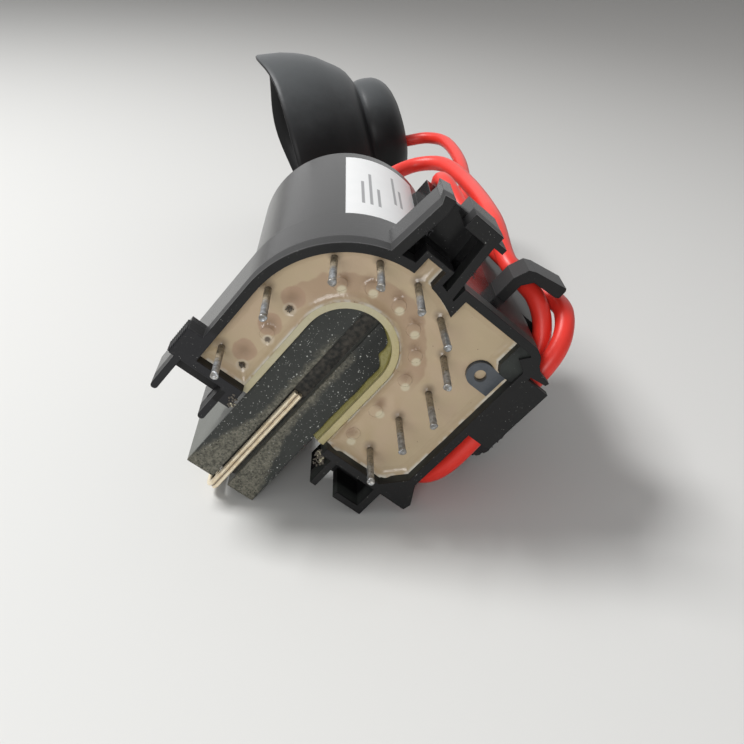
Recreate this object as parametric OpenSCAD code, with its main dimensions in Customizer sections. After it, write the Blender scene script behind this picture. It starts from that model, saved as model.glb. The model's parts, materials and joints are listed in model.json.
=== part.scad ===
// Flyback transformer, lying on its side with the terminal face towards -Y.
// Each piece is drawn about the round core leg: x across, y along the slot, z from the rim inwards.

/* [Core] */
// Diameter of the round leg and width of the yoke
core_w = 15; // [14.4:0.1:15.6]
// From the round leg's axis to the outer face of the outer leg
core_reach = 37.4; // [36.5:0.1:38.5]
// Depth of the yoke along the axis
yoke_depth = 11; // [10:0.2:12]
// Thickness of the outer leg
outer_leg_t = 11.4; // [10:0.2:12]
// Depth of the front yoke's face below the rim
yoke_recess = 4.3; // [4:0.1:5]
// Depth of the rear yoke's face below the far end
rear_recess = 2.7; // [2.2:0.1:3.2]
// Thickness of the spacers in the air gap
gap_t = 0.3; // [0.2:0.1:0.6]
// Width of the groove that holds the clip
groove_w = 3.4; // [3:0.1:4]
// Depth of the groove
groove_d = 1.8; // [1.4:0.1:2.2]
// Clearance between the core and what surrounds it
core_clear = 0.5; // [0.3:0.1:0.7]

/* [Clip] */
// Width of the folded spring strip
clip_w = 1.9; // [1.6:0.1:2.4]
// Thickness of the folded strip
clip_t = 1.2; // [1:0.1:1.6]
// How far each end of the clip runs along its yoke
clip_grip = 24; // [20:0.5:26]
// How far the clip's bend stands out past the outer leg
clip_bulge = 4; // [3.4:0.1:4.4]
// Outer radius of the clip's bends
clip_bend = 2.6; // [2:0.1:3.2]

/* [Case] */
// Outer radius of the rim at the terminal end
rim_r = 20.6; // [20:0.1:21.2]
// Wall thickness of the moulded case
wall = 1.6; // [1.4:0.1:1.8]
// Length of the skirt behind the rim
skirt_len = 14.6; // [14:0.1:16]
// Outer radius of the round body
body_r = 18.9; // [18.4:0.1:19.4]
// Length of the case from the rim to the far end
case_len = 61; // [60:0.5:64]
// From the round leg's axis to the outer face of the end plates
base_reach = 18.1; // [17.5:0.1:19]
// From the axis to the outer face of the terminal box's right wall
box_right = 27.1; // [26.5:0.1:27.5]
// From the axis to the outer face of the terminal box's top wall
box_top = 22.2; // [21.8:0.1:22.6]
// From the axis to the left side of the terminal box
box_left = 7; // [6.5:0.1:7.5]
// Outer radius of the box's corner
box_corner_r = 4; // [3:0.1:5]

/* [Brackets] */
// Depth of the brackets along the axis
bracket_depth = 9.5; // [8:0.1:11]
// Thickness of the bracket fins
fin_t = 1.3; // [1.1:0.1:1.6]
// Reach of the left bracket's fins
fin_reach = 25.6; // [24:0.1:26]
// From the axis to the left bracket's outer fin
left_fin_x = 22.5; // [22:0.1:23]
// From the axis to the left bracket's inner fin
inner_fin_x = 11.5; // [11:0.1:12]
// From the axis to the foot's outer face
foot_x = 23.4; // [23:0.1:24]
// Reach of the upper bracket's end
upper_reach = 32.5; // [31:0.1:33.5]
// Half width of the upper bracket where it leaves the case
upper_half = 6.8; // [6.4:0.1:7.4]

/* [Lead hook] */
// From the axis to the hook's leg
hook_x = 16.4; // [16:0.1:16.8]
// Width across the hook
hook_w = 9; // [8.6:0.1:9.6]
// Rise of the hook's arch above the box wall
hook_rise = 9; // [8.8:0.1:9.6]
// Depth of the hook behind the rim
hook_z = 11; // [10.5:0.1:12]
// Breadth of the hook's strap
hook_len = 6; // [5:0.1:7]

/* [Potting and bobbin] */
// Depth of the potting surface below the rim
pot_recess = 3.2; // [2.9:0.1:3.5]
// Depth of the bobbin wall's edge below the rim
u_recess = 2.6; // [2.2:0.1:2.8]
// Thickness of the bobbin's wall
bob_wall = 1.3; // [1.1:0.1:1.5]
// Depth of the bobbin's flange below the rim
flange_z = 10.4; // [10:0.1:11]
// Thickness of the bobbin's flange
flange_t = 2; // [1.6:0.1:2.2]
// Radius of the circle of posts
post_pcr = 12.2; // [11.9:0.1:12.5]
// Radius of each post
post_r = 1.25; // [1.1:0.05:1.4]
// Depth of the primary winding
primary_t = 1.4; // [1:0.1:1.6]
// Potting between the high-voltage bobbin's ribs and the case
hv_margin = 1.7; // [1.5:0.1:2.1]
// Number of winding sections
hv_sections = 5; // [3:1:7]
// Radius of each rectifier
diode_r = 1.2; // [1:0.1:1.4]

/* [Terminals] */
// From the rim's inner face to the pin circle
pin_margin = 1.9; // [1.8:0.05:2.1]
// Angle between neighbouring pins
pin_step = 25.3; // [25:0.1:25.6]
// Radius of each pin
pin_r = 0.625; // [0.5:0.025:0.65]
// How far the pins stand out past the rim
pin_out = 7.8; // [6:0.1:9]

/* [Focus pack] */
// From the axis to the pack's lower side
pack_low = 10.4; // [10.2:0.1:10.8]
// From the axis to the pack's open face
pack_face = 30; // [29.6:0.1:30.4]
// From the case's far end to the pack's far end
pack_margin = 3; // [2:0.5:4]
// Thickness of the pack's cover
cover_t = 1.6; // [1.4:0.1:2]
// Height of the boss under each knob
boss_h = 2.2; // [1.8:0.1:2.6]
// Radius of each knob
knob_r = 7.4; // [6.8:0.1:7.6]
// Height of each knob
knob_h = 7; // [6.4:0.1:7.6]
// From the axis to the knobs' centre line
knob_y = 2.2; // [1.8:0.1:2.6]
// From the rim to the screen knob
screen_z = 22; // [21.5:0.1:23]
// From the rim to the focus knob
focus_z = 43; // [41:0.5:45]
// Radius of the knob shafts
shaft_r = 2; // [1.6:0.1:2.4]
// Running clearance round each shaft
shaft_clear = 0.06; // [0.04:0.01:0.1]
// Thickness of the divider plate
divider_t = 1; // [0.8:0.1:1.2]

/* [Label] */
// Angle that the label covers
label_angle = 48; // [40:1:52]
// From the rim to the label's near edge
label_z = 19; // [18:0.5:22]
// From the case's far end to the label's far edge
label_margin = 4; // [3:0.5:6]

/* [Lead and cap] */
// Diameter of the high-voltage lead
lead_d = 3.6; // [3.4:0.1:3.8]
// Length of the outlet sleeve
outlet_len = 5.2; // [4:0.1:6]
// Radius of the cap's lip
cap_r = 30.9; // [29.5:0.1:30.9]
// Length of the cap from its lip to the end of its boot
cap_len = 36; // [35:0.5:36]
// Radius of the cap's boot
boot_r = 17.2; // [16.5:0.1:17.5]
// Length of the cap's boot
boot_len = 12; // [11.5:0.1:12.5]
// Wall thickness of the cap
cap_wall = 1.3; // [1:0.1:1.8]
// Tilt of the cap's axis
cap_tilt = 13; // [12:0.5:13.5]
// Turn of the cap's axis from straight across
cap_turn = 8; // [7:0.5:9]
// From the cap's axis down to the lead
lead_drop = 5; // [4.5:0.1:5.5]

/* [Hidden] */
$fn = 64;
eps = 0.02;
far = 200;

// Small gap left between curved faces that seat on each other
seat = 0.05;

// Yoke, bobbin wall and slot, as half widths
core_half = core_w / 2;
u_inner = core_half + core_clear;
u_outer = u_inner + bob_wall;
slot_half = u_outer + seat;

// Stations along the axis
core_len = case_len - yoke_recess - rear_recess;
pack_len = case_len - pack_margin;
label_len = case_len - label_z - label_margin;
yoke_back = yoke_recess + yoke_depth;
u_floor = yoke_back + core_clear;
u_end = u_floor + bob_wall;
core_end = yoke_recess + core_len;
core_mid = yoke_recess + core_len / 2;
rear_floor = core_end - yoke_depth - core_clear;
rear_start = rear_floor - bob_wall;
coil_start = u_end + 0.5;
coil_end = rear_start - 0.4;
skirt_in = skirt_len - wall;
case_in = case_len - wall;

// Pack
pack_floor = body_r - 1;
pack_in = pack_floor + wall;
cover_out = pack_face + cover_t;
boss_out = cover_out + boss_h;
boss_r = knob_r + 0.6;
knob_low = boss_out + 0.3;
knob_top = knob_low + knob_h;
hub_r = shaft_r + 1.6;
wiper_low = pack_in + divider_t + 0.3;
wiper_arm_t = 0.8;
shaft_low = wiper_low + wiper_arm_t + 1;
hub_top = pack_face - 0.3;

// The part lies on the outer leg's edge and the knobs' edge, which gives its angle and its height
lay_angle = atan((core_reach - knob_y - knob_r) / (knob_top - core_half));
axis_h = core_reach * cos(lay_angle) + core_half * sin(lay_angle);
// The foot reaches the same surface
foot_reach = (axis_h - foot_x * sin(lay_angle)) / cos(lay_angle);

// The origin lies under the middle of the part, without the lead and the cap
hook_tip = [hook_x + hook_w - 0.3, -box_top - hook_rise];
function lying_x(p) = p[0] * cos(lay_angle) - p[1] * sin(lay_angle);
lay_min_x = lying_x([-left_fin_x, fin_reach]);
lay_max_x = max(lying_x(hook_tip), lying_x([cover_out, -box_top]), lying_x([knob_top, knob_y - knob_r]));
lay_dx = -(lay_min_x + lay_max_x) / 2;
lay_dy = -(case_len + outlet_len - pin_out) / 2;

// Pins: angles from straight up the slot, with one place left empty
pin_pcr = rim_r - wall - pin_margin;
pin_first = 5;
pin_lone = -88;
pin_angles = concat([pin_lone], [for (i = [-2 : 4]) pin_first + i * pin_step]);
end_pin_y = base_reach - 5;
end_pin_x = pin_pcr - 0.4;
pin_places = concat(
    [[-end_pin_x, end_pin_y]],
    [for (a = pin_angles) [pin_pcr * sin(a), -pin_pcr * cos(a)]],
    [[end_pin_x, end_pin_y]]
);
pin_root = flange_z + flange_t;
root_r = pin_r - 0.2;
post_angles = [-43.6, -17.9, 8.2, 32.8, 57, 81];
post_row = post_pcr * 0.51;
post_places = concat(
    [for (a = post_angles) [post_pcr * sin(a), -post_pcr * cos(a)]],
    [[post_pcr, post_row], [post_pcr, 2 * post_row], [-post_pcr, post_row]]
);
flange_r = pin_pcr + pin_r + 0.2;

// Rectifiers in the far end of the potting
diode_pcr = 13.6;
diode_angles = [-128, -90, -52];
diode_len = 9;
diode_z = rear_floor + 1;

// High-voltage outlet
outlet_at = [2, -12];

// Lead route in the lying frame, from the outlet to the cap
lead_route = [
    [6.5, 37, 41.5], [6.5, 45, 42], [9.5, 52.8, 42.2], [15.5, 55, 43.8], [21.5, 50.3, 45],
    [25.3, 35, 45], [26.9, 8, 45.9], [27.4, -6.5, 42.9], [29.5, -11.5, 40.75], [31.8, -15.2, 38.6],
    [32.9, -18, 34.8], [32, -19.8, 30], [27, -20.2, 23], [18.5, -19.6, 10.5], [12.5, -17, 4.5],
    [8, -9, 3], [6.5, 12, 3], [9, 30, 8], [15, 39, 19], [18, 40.5, 32], [18.5, 36.5, 43],
    [19, 26, 47.8], [23.5, 9.5, 43.3], [32, -6, 38.2], [35.9, -13, 37.2], [36.8, -17.8, 36.4],
    [35.6, -22.2, 33], [32, -24.4, 28], [24.5, -24.4, 18.5], [15.5, -23.5, 6.5], [9, -19, 2.8],
    [3.5, -10, 2.5], [2.5, 12, 2.5], [8, 41, 6], [20, 49, 17], [28, 60, 29.3], [30.8, 84, 34.4],
    [29.2, 109, 35.6], [24, 119, 35.1], [15.9, 121, 33.4]
];
lead_sides = 8;
lead_steps = 2;
lead_end = lead_route[len(lead_route) - 1];

// Curve through the route's points
function route_at(i) =
    i < 0 ? 2 * lead_route[0] - lead_route[1]
    : i >= len(lead_route) ? 2 * lead_end - lead_route[len(lead_route) - 2]
    : lead_route[i];
function curve_at(i, t) =
    let (a = route_at(i - 1), b = route_at(i), c = route_at(i + 1), d = route_at(i + 2))
    0.5 * (2 * b + (c - a) * t + (2 * a - 5 * b + 4 * c - d) * t * t
        + (3 * b - a - 3 * c + d) * t * t * t);
function unit(v) = v / norm(v);
lead_line = concat(
    [for (i = [0 : len(lead_route) - 2]) for (k = [0 : lead_steps - 1]) curve_at(i, k / lead_steps)],
    [lead_end]
);
lead_last = len(lead_line) - 1;
function lead_dir(i) =
    i == 0 ? [0, 1, 0]
    : i == lead_last ? -[cos(cap_tilt) * cos(cap_turn), cos(cap_tilt) * sin(cap_turn), sin(cap_tilt)]
    : unit(lead_line[i + 1] - lead_line[i - 1]);
// Side vector carried from ring to ring, so that the tube doesn't twist
function carried(i, side) =
    let (d = lead_dir(i), s = unit(side - (side * d) * d))
    i == lead_last ? [s] : concat([s], carried(i + 1, s));
lead_sides_list = carried(0, [1, 0, 0]);

// Places a piece from its own frame into the lying frame
module lay() {
    translate([lay_dx, lay_dy, axis_h])
        rotate([0, lay_angle, 0])
            rotate([-90, 0, 0])
                children();
}

// A block between two corners
module block(low, high) {
    translate(low) cube(high - low);
}

// A plate with the given outline, between two depths
module slab(z0, z1) {
    translate([0, 0, z0]) linear_extrude(z1 - z0) children();
}

// Outline of the slot: round at the axis, open along +y
module slot_2d(half, reach) {
    circle(r = half);
    translate([-half, 0]) square([2 * half, reach]);
}

module slot(half, reach, z0, z1) {
    slab(z0, z1) slot_2d(half, reach);
}

// Outline of the skirt, drawn in by the given amount
module skirt_2d(inset) {
    right = box_right - inset;
    low = base_reach - inset;
    top = box_top - inset;
    left = box_left + inset;
    corner = box_right - box_corner_r;
    corner_y = box_top - box_corner_r;
    circle(r = rim_r - inset);
    translate([-rim_r + inset, 0]) square([rim_r - inset + foot_x - wall, low]);
    translate([left, -top]) square([corner - left, top + low - box_corner_r]);
    translate([left, -corner_y]) square([right - left, corner_y + low - box_corner_r]);
    translate([corner, -corner_y]) circle(r = box_corner_r - inset);
    // The chamfered corner beside the foot
    polygon([
        [foot_x - wall, low], [foot_x - wall, low - box_corner_r], [right, low - box_corner_r]
    ]);
}

// Fin with a round end, from its left side
module round_fin(left, low, high) {
    half = fin_t / 2;
    block([left, low, 0], [left + fin_t, high - half, bracket_depth]);
    translate([left + half, high - half, 0]) cylinder(r = half, h = bracket_depth);
}

module left_bracket() {
    outer = -left_fin_x;
    inner = -inner_fin_x;
    // Web behind the groove
    block([outer, base_reach - eps, fin_t * 2], [inner, base_reach + fin_t, bracket_depth]);
    // Outer and inner fins
    round_fin(outer, base_reach - wall, fin_reach);
    round_fin(inner - fin_t, base_reach, fin_reach);
    // Block beside the slot
    block([inner - fin_t, base_reach, 0], [-slot_half + 1, base_reach + 2 * fin_t, bracket_depth / 2]);
    // Ribbed tab on the corner
    block([outer - 1, base_reach - 5.8, 0], [-rim_r + wall, base_reach, bracket_depth / 2]);
}

module right_bracket() {
    inner = inner_fin_x;
    // Foot with its outer wall, its sole and its fin
    block([foot_x - wall, base_reach - wall, 0], [foot_x, foot_reach, bracket_depth]);
    block([foot_x - 6.5, foot_reach - fin_t, 0], [foot_x, foot_reach, bracket_depth]);
    block([inner, base_reach - eps, 0], [inner + fin_t, foot_reach, bracket_depth]);
    // Back of the foot's hollow
    block([inner, base_reach - eps, bracket_depth - wall], [foot_x, foot_reach, bracket_depth]);
    // Tab beside the foot
    slab(0, 2 * fin_t) polygon([
        [foot_x - eps, base_reach - wall], [box_right, base_reach - box_corner_r - wall],
        [box_right + 2.4, base_reach - wall], [box_right + 2, base_reach], [foot_x - eps, base_reach]
    ]);
}

module upper_bracket_2d() {
    end = -upper_reach;
    tip = upper_half - 1.6;
    root = -rim_r + 3;
    // Left wall with its hooked end
    polygon([
        [-upper_half, root], [-tip - 0.4, end + 2.2], [-tip - 1, end + 0.9], [-tip + 1, end + 0.5],
        [-tip + 1.4, end + 2.6], [-upper_half + wall, root]
    ]);
    // Right wall
    polygon([
        [upper_half, root], [tip + 0.4, end + 2.6], [tip - 1.2, end + 2.6], [upper_half - wall, root]
    ]);
    // End block and its small fin
    translate([-0.4, end]) square([tip + 0.8, 2.7]);
    translate([tip, end + 1.2]) square([2.2, 1]);
}

// Square pocket in the rim, which the potting fills
module rim_pocket(inset, z0) {
    block([-1.3 + inset, -rim_r - 1.7 + inset, z0], [2.6 - inset, -rim_r + 2, skirt_in - wall - inset]);
}

// Thick inner corner of the terminal box
module box_corner_2d(grow) {
    left = box_right - 5.4 - grow;
    low = -box_top + 8 + grow;
    nook = box_corner_r * 0.55;
    polygon([
        [left, -box_top + wall / 2], [left, low - 1.4], [left + 1.2, low], [box_right - wall / 2, low],
        [box_right - wall / 2, -box_top + nook], [box_right - nook, -box_top + wall / 2]
    ]);
}

module upper_bracket() {
    difference() {
        union() {
            slab(0, bracket_depth) upper_bracket_2d();
            slab(bracket_depth - wall, bracket_depth) polygon([
                [-upper_half, -rim_r + 3], [-upper_half + 2, -upper_reach + 2],
                [upper_half - 2, -upper_reach + 2], [upper_half, -rim_r + 3]
            ]);
            // Walls of the square pocket
            block([-2.3 - eps, -rim_r - 2.6, 0], [3.6, -rim_r + 1, skirt_in]);
        }
        translate([0, 0, -eps]) cylinder(r = rim_r - wall, h = skirt_in + 2 * eps);
    }
}

module hook() {
    base = -box_top + wall / 2;
    top = -box_top - hook_rise;
    right = hook_x + hook_w;
    leg = wall + 0.4;
    slab(hook_z, hook_z + hook_len) polygon([
        [hook_x, base], [hook_x, top + 4.6], [hook_x + 1.1, top + 1.8], [hook_x + 2.4, top + 1.2],
        hook_tip, [right, top + 0.5], [right, top + 2.1], [right - 0.6, top + 2.5],
        [hook_x + 3.4, top + 2.9], [hook_x + leg, top + 4.8], [hook_x + leg, base]
    ]);
}

// Plate and tongue that keep the lead tucked under the terminal box
module lead_keeper() {
    plate_t = 1.4;
    plate_top = -box_top + 5.4;
    plate_low = plate_top + 14.9;
    tongue_y = -box_top + 3.6;
    block([box_right - eps, plate_top, 0], [box_right + 4.9, plate_low, plate_t]);
    slab(0, plate_t) polygon([
        [box_right - box_corner_r / 2, -box_top + 1], [box_right + 0.8, tongue_y - 0.5],
        [box_right + 3.4, tongue_y], [box_right + 3.2, tongue_y + 0.7],
        [box_right - wall, tongue_y + 1.4], [box_right - box_corner_r, tongue_y]
    ]);
}

// Side housing of the focus pack, open towards the cover
module pack_shell() {
    low = [pack_floor, -box_top, skirt_in];
    high = [pack_face, pack_low, pack_len];
    difference() {
        block(low, high);
        block([pack_in, -box_top + wall, skirt_len], [far, pack_low - wall, pack_len - wall]);
    }
    // Shelf over the gap beside the round body, with its edge rib
    block([box_left - 2, -box_top, skirt_in], [pack_floor + eps, -box_top + wall, pack_len]);
    block([box_left - 2, -box_top, skirt_in], [box_left - 2 + wall, -body_r * 0.93, pack_len]);
}

// Far pocket that holds the rear yoke
module rear_pocket() {
    intersection() {
        slot(u_outer, body_r, rear_start, case_len);
        cylinder(r = body_r, h = case_len);
    }
}

module case() {
    color([0.09, 0.09, 0.1]) lay() {
        difference() {
            union() {
                difference() {
                    union() {
                        slab(0, skirt_len) skirt_2d(0);
                        cylinder(r = body_r, h = case_len);
                        pack_shell();
                    }
                    slab(-eps, skirt_in) skirt_2d(wall);
                    translate([0, 0, skirt_in - eps])
                        cylinder(r = body_r - wall, h = case_in - skirt_in + eps);
                }
                rear_pocket();
                left_bracket();
                right_bracket();
                upper_bracket();
                slab(wall / 2, skirt_in) box_corner_2d(0);
                hook();
                lead_keeper();
            }
            rim_pocket(0, -eps);
            slot(slot_half, far, -eps, u_end + seat);
            slot(u_inner, far, rear_floor, case_len + eps);
            translate([0, 0, rear_start - eps]) cylinder(r = u_outer + seat, h = 2 * bob_wall);
        }
    }
}

module pins_at() {
    for (p = pin_places) translate([p[0], p[1], 0]) children();
}

module posts_at() {
    for (p = post_places) translate([p[0], p[1], 0]) children();
}

module diodes_at() {
    for (a = diode_angles) rotate([0, 0, a]) translate([diode_pcr, 0, diode_z]) children();
}

module potting() {
    color([0.76, 0.67, 0.57]) lay() difference() {
        union() {
            slab(pot_recess, skirt_in - seat) skirt_2d(wall + seat);
            translate([0, 0, skirt_in - 2 * seat])
                cylinder(r = body_r - wall - seat, h = case_in - skirt_in + seat);
            rim_pocket(seat, pot_recess);
        }
        slab(-eps, skirt_in) box_corner_2d(seat);
        slot(slot_half, far, -eps, u_end + seat);
        translate([0, 0, flange_z - seat]) cylinder(r = flange_r + seat, h = flange_t + 2 * seat);
        translate([0, 0, coil_start - seat])
            cylinder(r = hv_r + seat, h = coil_end - coil_start + 2 * seat);
        cylinder(r = u_outer + seat, h = case_len);
        slot(u_outer + seat, far, rear_start - seat, case_len);
        pins_at() cylinder(r = root_r + eps, h = pin_root);
        posts_at() cylinder(r = post_r + eps, h = pin_root);
        diodes_at() cylinder(r = diode_r + eps, h = diode_len);
    }
}

module lv_bobbin() {
    color([0.9, 0.86, 0.74]) lay() {
        difference() {
            union() {
                slot(u_outer, base_reach, u_recess, u_end);
                translate([0, 0, flange_z]) cylinder(r = flange_r, h = flange_t);
                translate([0, 0, u_floor]) cylinder(r = u_outer, h = rear_floor - u_floor - seat);
                posts_at() translate([0, 0, pot_recess - 0.1])
                    cylinder(r = post_r, h = flange_z - pot_recess + 0.2);
            }
            slot(u_inner, far, -eps, u_floor);
            block([-u_outer, base_reach - 0.4, -eps], [u_outer, far, u_end + eps]);
            cylinder(r = u_inner, h = case_len);
            pins_at() translate([0, 0, flange_z - eps])
                cylinder(r = root_r + eps, h = flange_t + 2 * eps);
            // The flange stays clear of the slot in the case
            difference() {
                block([-u_outer - far, base_reach - wall - 0.4, -eps], [far, far, u_end + eps]);
                slot(u_outer, far, -2 * eps, u_end + 2 * eps);
            }
        }
    }
}

module tube(inner, outer, z0, z1) {
    rotate_extrude() translate([inner, z0]) square([outer - inner, z1 - z0]);
}

primary_r = u_outer + seat;
primary_out = primary_r + primary_t;
hv_base = primary_out + seat;
hv_base_t = 1;
hv_r = body_r - wall - hv_margin;
rib_t = 1;
section = (coil_end - coil_start - rib_t) / hv_sections;

module primary_winding() {
    color([0.72, 0.4, 0.2]) lay() tube(primary_r, primary_out, coil_start, coil_end);
}

module hv_bobbin() {
    color([0.85, 0.82, 0.74]) lay() {
        tube(hv_base, hv_base + hv_base_t, coil_start, coil_end);
        for (i = [0 : hv_sections])
            tube(hv_base, hv_r, coil_start + i * section, coil_start + i * section + rib_t);
    }
}

module hv_winding() {
    color([0.66, 0.34, 0.16]) lay()
        for (i = [0 : hv_sections - 1])
            tube(hv_base + hv_base_t + seat, hv_r - 0.5,
                coil_start + i * section + rib_t + seat, coil_start + (i + 1) * section - seat);
}

module hv_diodes() {
    color([0.12, 0.12, 0.13]) lay() diodes_at() cylinder(r = diode_r, h = diode_len);
}

// One half of the core, with its yoke face at z = 0
module core_half_piece(length) {
    difference() {
        union() {
            slot(core_half, core_reach, 0, yoke_depth);
            cylinder(r = core_half, h = length);
            block([-core_half, core_reach - outer_leg_t, 0], [core_half, core_reach, length]);
        }
        block([-groove_w / 2, -core_w, -eps], [groove_w / 2, far, groove_d]);
        block([-groove_w / 2, core_reach - groove_d, -eps], [groove_w / 2, far, length + eps]);
    }
}

core_piece_len = (core_len - gap_t) / 2;

module core_front() {
    color([0.23, 0.24, 0.25]) lay()
        translate([0, 0, yoke_recess]) core_half_piece(core_piece_len);
}

module core_rear() {
    color([0.23, 0.24, 0.25]) lay()
        translate([0, 0, core_end]) mirror([0, 0, 1]) core_half_piece(core_piece_len);
}

module gap_spacers() {
    color([0.8, 0.7, 0.45]) lay() {
        translate([0, 0, core_mid - gap_t / 2]) {
            cylinder(r = core_half - 0.3, h = gap_t);
            block([-core_half + 0.3, core_reach - outer_leg_t + 0.3, 0],
                [core_half - 0.3, core_reach - groove_d, gap_t]);
        }
    }
}

// Side view of the clip's loop, drawn in by the given amount and open towards -y
module clip_loop(inset) {
    left = core_reach - clip_grip - inset;
    right = core_reach + clip_bulge - inset;
    low = yoke_recess + groove_d - clip_t + inset;
    high = core_end - groove_d + clip_t - inset;
    bend = clip_bend - inset;
    translate([left, low]) square([right - bend - left, high - low]);
    translate([left, low + bend]) square([right - left, high - low - 2 * bend]);
    for (z = [low + bend, high - bend]) translate([right - bend, z]) circle(r = bend);
}

module core_clip() {
    color([0.86, 0.76, 0.58]) lay()
        translate([-clip_w / 2, 0, 0]) rotate([90, 0, 90]) linear_extrude(clip_w) difference() {
            clip_loop(0);
            clip_loop(clip_t);
        }
}

module terminal_pins() {
    tip = 0.3;
    color([0.7, 0.7, 0.68]) lay() pins_at() {
        translate([0, 0, -pin_out]) cylinder(r1 = pin_r - tip, r2 = pin_r, h = tip);
        translate([0, 0, -pin_out + tip]) cylinder(r = pin_r, h = pin_out + pot_recess - tip);
        translate([0, 0, pot_recess - eps]) cylinder(r = root_r, h = pin_root - pot_recess);
    }
}

module eyelet_tab() {
    tab_r = 2.5;
    tab_t = 0.7;
    hole_r = 1.05;
    tab_x = box_right - 5.8;
    tab_y = -box_top + 10.8;
    color([0.42, 0.45, 0.47]) lay() translate([tab_x, tab_y, pot_recess - tab_t]) difference() {
        union() {
            cylinder(r = tab_r, h = tab_t);
            block([0, -tab_r, 0], [box_right - wall - tab_x - seat, tab_r, tab_t]);
        }
        translate([0, 0, -eps]) cylinder(r = hole_r, h = tab_t + 2 * eps);
    }
}

module divider_plate() {
    inset = 0.4;
    color([0.9, 0.9, 0.88]) lay()
        block([pack_in, -box_top + wall + inset, skirt_len + inset],
            [pack_in + divider_t, pack_low - wall - inset, pack_len - wall - inset]);
}

module knobs_axis(z) {
    translate([0, knob_y, z]) rotate([0, 90, 0]) children();
}

module pack_cover() {
    lip = 1;
    color([0.09, 0.09, 0.1]) lay() difference() {
        union() {
            block([pack_face, -box_top, skirt_in], [cover_out, pack_low, pack_len]);
            // Lip that centres the cover in the housing
            difference() {
                block([pack_face - lip, -box_top + wall + 0.1, skirt_len + 0.1],
                    [pack_face + eps, pack_low - wall - 0.1, pack_len - wall - 0.1]);
                block([pack_face - 2 * lip, -box_top + wall + lip, skirt_len + lip],
                    [pack_face, pack_low - wall - lip, pack_len - wall - lip]);
            }
            for (z = [screen_z, focus_z])
                knobs_axis(z) translate([0, 0, pack_face])
                    cylinder(r = boss_r, h = boss_out - pack_face);
        }
        for (z = [screen_z, focus_z])
            knobs_axis(z) translate([0, 0, pack_face - 2 * lip])
                cylinder(r = shaft_r + shaft_clear, h = far);
    }
}

// A fluted knob on its shaft, with a driver slot across its face
module knob(z) {
    flutes = 18;
    flute_r = 0.55;
    slot_w = 1.4;
    slot_d = 1.6;
    knobs_axis(z) {
        difference() {
            translate([0, 0, knob_low]) cylinder(r = knob_r, h = knob_top - knob_low);
            for (i = [0 : flutes - 1])
                rotate([0, 0, (i + 0.5) * 360 / flutes])
                    translate([knob_r + 0.2, 0, knob_low + 1]) cylinder(r = flute_r, h = far);
            translate([-far, -slot_w / 2, knob_top - slot_d]) cube([2 * far, slot_w, far]);
        }
        translate([0, 0, shaft_low]) cylinder(r = shaft_r, h = knob_low - shaft_low + eps);
    }
}

module focus_knob() {
    color([0.12, 0.12, 0.13]) lay() knob(focus_z);
}

module screen_knob() {
    color([0.12, 0.12, 0.13]) lay() knob(screen_z);
}

// Hub pressed on the shaft, with the contact arm that sweeps the divider plate
module wiper(z) {
    arm = knob_r - 1.4;
    arm_w = 1.2 * shaft_r;
    knobs_axis(z) {
        difference() {
            translate([0, 0, wiper_low]) cylinder(r = hub_r, h = hub_top - wiper_low);
            translate([0, 0, shaft_low]) cylinder(r = shaft_r + eps, h = far);
        }
        translate([-arm_w / 2, -arm, wiper_low]) cube([arm_w, 2 * arm, wiper_arm_t]);
    }
}

module focus_wiper() {
    color([0.82, 0.7, 0.4]) lay() wiper(focus_z);
}

module screen_wiper() {
    color([0.82, 0.7, 0.4]) lay() wiper(screen_z);
}

module label() {
    label_t = 0.12;
    color([0.93, 0.93, 0.92]) lay()
        rotate([0, 0, -90 - lay_angle])
            rotate_extrude(angle = label_angle)
                translate([body_r + eps, label_z]) square([label_t, label_len]);
}

module hv_outlet() {
    wide = lead_d / 2 + 2.2;
    narrow = lead_d / 2 + 0.9;
    color([0.08, 0.08, 0.09]) lay() translate([outlet_at[0], outlet_at[1], case_len])
        cylinder(r1 = wide, r2 = narrow, h = outlet_len);
}

module hv_lead() {
    rings = [
        for (i = [0 : lead_last])
            let (side = lead_sides_list[i], up = cross(lead_dir(i), side))
            for (k = [0 : lead_sides - 1])
                let (a = 360 * k / lead_sides)
                lead_line[i] + lead_d / 2 * (cos(a) * side + sin(a) * up)
    ];
    skin = [
        for (i = [0 : lead_last - 1]) for (k = [0 : lead_sides - 1])
            let (n = (k + 1) % lead_sides, at = i * lead_sides)
            [at + k, at + lead_sides + k, at + lead_sides + n, at + n]
    ];
    first = [for (k = [0 : lead_sides - 1]) k];
    last = [for (k = [lead_sides - 1 : -1 : 0]) lead_last * lead_sides + k];
    color([0.85, 0.1, 0.08]) polyhedron(rings, concat(skin, [first, last]));
}

// Places the cap with the flat end of its boot on the end of the lead
module cap_frame() {
    translate(lead_end)
        rotate([0, 90 - cap_tilt, cap_turn])
            translate([-lead_drop, 0, -cap_len])
                children();
}

bell_len = cap_len - boot_len;
cap_floor = bell_len - 1;

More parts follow.
